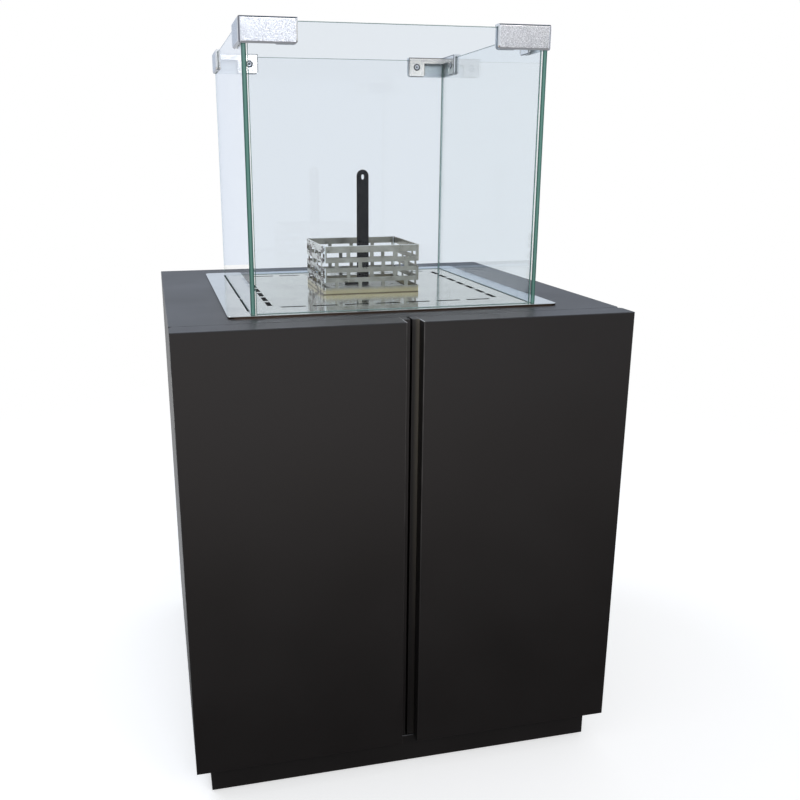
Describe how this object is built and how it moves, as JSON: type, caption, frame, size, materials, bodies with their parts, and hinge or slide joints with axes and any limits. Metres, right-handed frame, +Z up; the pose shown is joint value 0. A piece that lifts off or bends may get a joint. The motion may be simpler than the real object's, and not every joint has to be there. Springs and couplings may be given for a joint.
{
  "type": "bioethanol fireplace",
  "caption": "Free-standing bioethanol fireplace: black cabinet with hinged doors, steel burner plate, slotted flame guard, lift-off snuffer and a glass surround held by corner clips.",
  "frame": {"origin": "on the floor under the middle of the cabinet", "axes": "+Z up, the doors face -Y, +X to the right seen from the front"},
  "size_m": [0.6, 0.6, 1.0118],
  "materials": {
    "satin_black_board": "satin black lacquer on fibreboard",
    "raw_wood": "sawn softwood",
    "glide_plastic": "moulded",
    "hinge_steel": "nickel plated",
    "catch_plastic": "moulded",
    "plate_steel": "bright rolled",
    "air_box_steel": "mill finish",
    "tank_steel": "mill finish",
    "ceramic_fibre": "felted",
    "guard_steel": "satin, straw tint at the foot",
    "lid_steel": "satin",
    "handle_black": "semi-gloss black",
    "clear_glass": "clear toughened, polished edges",
    "clip_metal": "grit-blasted casting",
    "clip_pad_rubber": "translucent",
    "clip_fastener_steel": "bright"
  },
  "bodies": {
    "cabinet": {"left_side_panel": "satin_black_board", "right_side_panel": "satin_black_board", "top_panel": "satin_black_board", "bottom_panel": "satin_black_board", "back_panel": "satin_black_board", "front_rail": "satin_black_board", "plinth_front_board": "satin_black_board", "plinth_back_board": "satin_black_board", "plinth_side_boards": "satin_black_board", "plinth_blocks": "raw_wood", "floor_glides": "glide_plastic", "left_frame_leaves": "hinge_steel", "right_frame_leaves": "hinge_steel", "hinge_pins": "hinge_steel", "frame_screws": "hinge_steel", "magnetic_catches": "catch_plastic", "burner_plate": "plate_steel", "air_box_walls": "air_box_steel", "air_box_floor": "air_box_steel"},
    "left_door": {"left_door": "satin_black_board", "left_door_leaves": "hinge_steel", "left_door_screws": "hinge_steel", "left_keeper": "hinge_steel"},
    "right_door": {"right_door": "satin_black_board", "right_door_leaves": "hinge_steel", "right_door_screws": "hinge_steel", "right_keeper": "hinge_steel"},
    "flame_guard": {"guard_front_right": "guard_steel", "guard_back_left": "guard_steel"},
    "burner_tank": {"burner_tank": "tank_steel", "fibre_block": "ceramic_fibre", "retaining_grid": "tank_steel"},
    "snuffer": {"snuffer_lid": "lid_steel", "snuffer_handle": "handle_black"},
    "glass_surround": {"glass_left": "clear_glass", "glass_right": "clear_glass", "glass_front": "clear_glass", "glass_back": "clear_glass", "clip_front_left": "clip_metal", "clip_front_right": "clip_metal", "clip_back_left": "clip_metal", "clip_back_right": "clip_metal", "clip_pads": "clip_pad_rubber", "clip_discs": "clip_fastener_steel", "clip_screws": "clip_fastener_steel"}
  },
  "joints": [
    {"name": "left_door_hinge", "type": "hinge", "parent": "cabinet", "child": "left_door", "pos_m": [-0.296, -0.2585, 0.35], "axis": [0, 0, -1], "range_deg": [0, 100]},
    {"name": "right_door_hinge", "type": "hinge", "parent": "cabinet", "child": "right_door", "pos_m": [0.296, -0.2585, 0.35], "axis": [0, 0, 1], "range_deg": [0, 100]},
    {"name": "guard_lift", "type": "slide", "parent": "cabinet", "child": "flame_guard", "axis": [0, 0, 1], "range_m": [0, 0.19]},
    {"name": "tank_lift", "type": "slide", "parent": "cabinet", "child": "burner_tank", "axis": [0, 0, 1], "range_m": [0, 0.1]},
    {"name": "snuffer_lift", "type": "slide", "parent": "burner_tank", "child": "snuffer", "axis": [0, 0, 1], "range_m": [0, 0.09]},
    {"name": "glass_lift", "type": "slide", "parent": "cabinet", "child": "glass_surround", "axis": [0, 0, 1], "range_m": [0, 0.22]}
  ]
}
